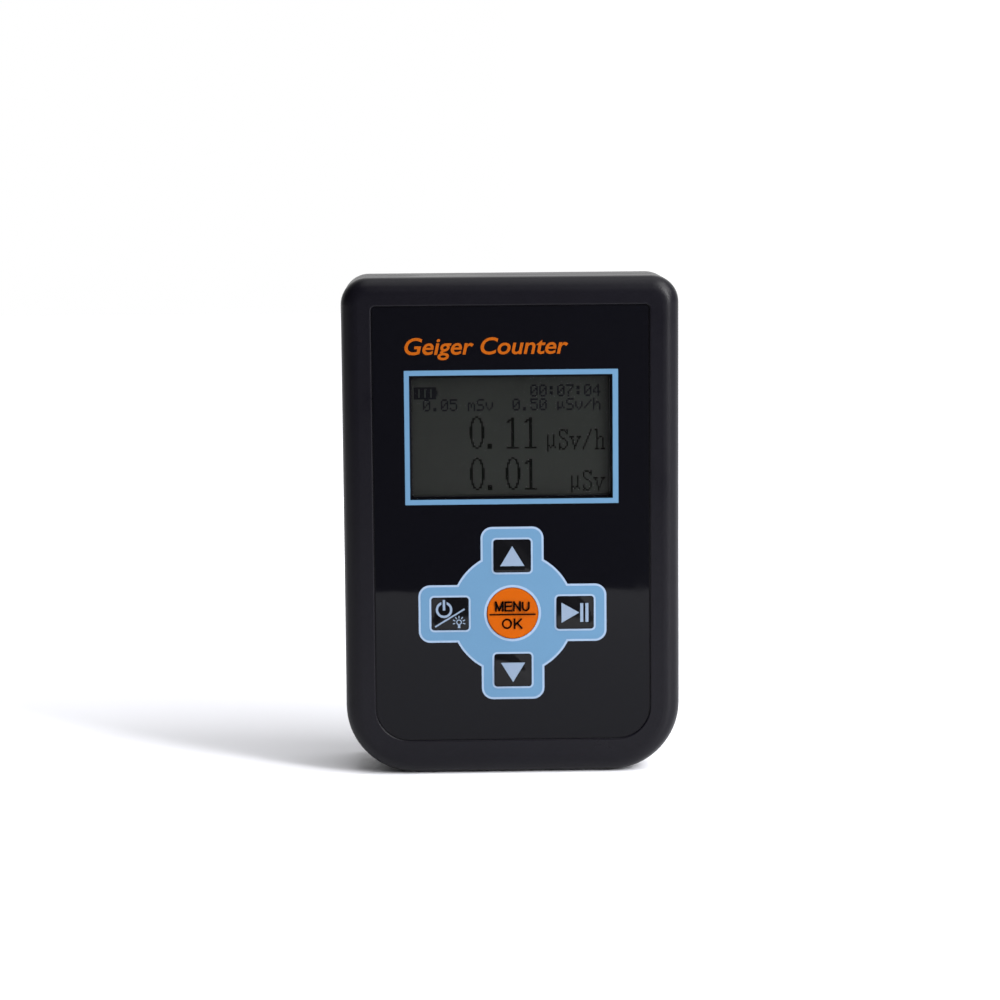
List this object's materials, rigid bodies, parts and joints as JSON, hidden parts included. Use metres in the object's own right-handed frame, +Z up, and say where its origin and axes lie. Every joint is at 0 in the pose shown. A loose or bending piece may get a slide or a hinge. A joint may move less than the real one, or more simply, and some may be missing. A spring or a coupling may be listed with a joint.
{
  "type": "handheld geiger counter",
  "caption": "Upright handheld dose-rate meter: rounded black housing, recessed front overlay with display and key cross, sliding battery door and sprung belt clip.",
  "frame": {"origin": "centre of the lower face that the meter stands on", "axes": "+Z up, the front with the display faces -Y, +X to the viewer's right"},
  "size_m": [0.07, 0.034, 0.104],
  "materials": {
    "housing_plastic": "finely textured matte black",
    "seal_rubber": "soft grey-black",
    "screw_steel": "plated steel",
    "overlay_film": "glossy printed film",
    "window_clear": "clear, slightly smoky",
    "key_black": "glossy embossed film",
    "key_orange": "glossy embossed film",
    "plunger_plastic": "natural nylon",
    "black_plastic": "moulded black",
    "tin_plate": "tin plated",
    "display_glass": "liquid crystal glass",
    "backlight_plastic": "milky light guide",
    "ribbon_film": "amber polyimide",
    "board_green": "green solder mask",
    "capacitor_can": "drawn can",
    "core_ferrite": "sintered ferrite",
    "winding_copper": "enamelled copper under clear tape",
    "capacitor_blue": "epoxy dipped",
    "tube_glass": "thin glass with a dark cathode behind",
    "clip_brass": "plated spring brass",
    "cell_wrap": "plain printed sleeve",
    "print_blue": "light blue ink under clear film",
    "print_pale": "pale ink under clear film",
    "print_orange": "orange ink under clear film",
    "display_dots": "dark display dots and black ink"
  },
  "bodies": {
    "housing": {"front_housing": "housing_plastic", "rear_housing": "housing_plastic", "housing_gasket": "seal_rubber", "housing_screws": "screw_steel", "overlay_film": "overlay_film", "display_window": "window_clear", "switch_bodies": "black_plastic", "switch_covers": "tin_plate", "lcd_glass": "display_glass", "lcd_backlight": "backlight_plastic", "lcd_frame": "black_plastic", "lcd_ribbon": "ribbon_film", "ribbon_connector": "plunger_plastic", "main_board": "board_green", "board_screws": "screw_steel", "processor": "black_plastic", "small_chips": "black_plastic", "chip_leads": "tin_plate", "chip_resistors": "black_plastic", "crystal": "tin_plate", "smoothing_capacitors": "capacitor_can", "transformer_core": "core_ferrite", "transformer_winding": "winding_copper", "tube_capacitors": "capacitor_blue", "geiger_tube": "tube_glass", "tube_caps": "capacitor_can", "tube_filter": "tin_plate", "tube_clips": "clip_brass", "buzzer": "black_plastic", "battery_left": "cell_wrap", "battery_right": "cell_wrap", "battery_springs": "tin_plate", "battery_plates": "tin_plate", "clip_bracket": "housing_plastic", "clip_pin": "tin_plate", "clip_spring": "tin_plate", "clip_screws": "screw_steel"},
    "key_up_body": {"key_up": "key_black", "plunger_up": "plunger_plastic"},
    "key_down_body": {"key_down": "key_black", "plunger_down": "plunger_plastic"},
    "key_power_body": {"key_power": "key_black", "plunger_power": "plunger_plastic"},
    "key_play_body": {"key_play": "key_black", "plunger_play": "plunger_plastic"},
    "key_menu_body": {"key_menu": "key_orange", "plunger_menu": "plunger_plastic"},
    "door": {"battery_door": "housing_plastic"},
    "clip": {"belt_clip": "housing_plastic"}
  },
  "joints": [
    {"name": "press_up", "type": "slide", "parent": "housing", "child": "key_up_body", "axis": [0, 1, 0], "range_m": [0, 0.0003], "stiffness_N_per_m": 600, "springref_m": -0.001},
    {"name": "press_down", "type": "slide", "parent": "housing", "child": "key_down_body", "axis": [0, 1, 0], "range_m": [0, 0.0003], "stiffness_N_per_m": 600, "springref_m": -0.001},
    {"name": "press_power", "type": "slide", "parent": "housing", "child": "key_power_body", "axis": [0, 1, 0], "range_m": [0, 0.0003], "stiffness_N_per_m": 600, "springref_m": -0.001},
    {"name": "press_play", "type": "slide", "parent": "housing", "child": "key_play_body", "axis": [0, 1, 0], "range_m": [0, 0.0003], "stiffness_N_per_m": 600, "springref_m": -0.001},
    {"name": "press_menu", "type": "slide", "parent": "housing", "child": "key_menu_body", "axis": [0, 1, 0], "range_m": [0, 0.0003], "stiffness_N_per_m": 600, "springref_m": -0.001},
    {"name": "door_slide", "type": "slide", "parent": "housing", "child": "door", "axis": [0, 0, -1], "range_m": [0, 0.06]},
    {"name": "clip_hinge", "type": "hinge", "parent": "housing", "child": "clip", "pos_m": [0, 0.0175, 0.09], "axis": [1, 0, 0], "range_deg": [0, 20], "stiffness_Nm_per_rad": 0.15, "springref_deg": -20.05, "deforming": ["clip_spring"]}
  ]
}
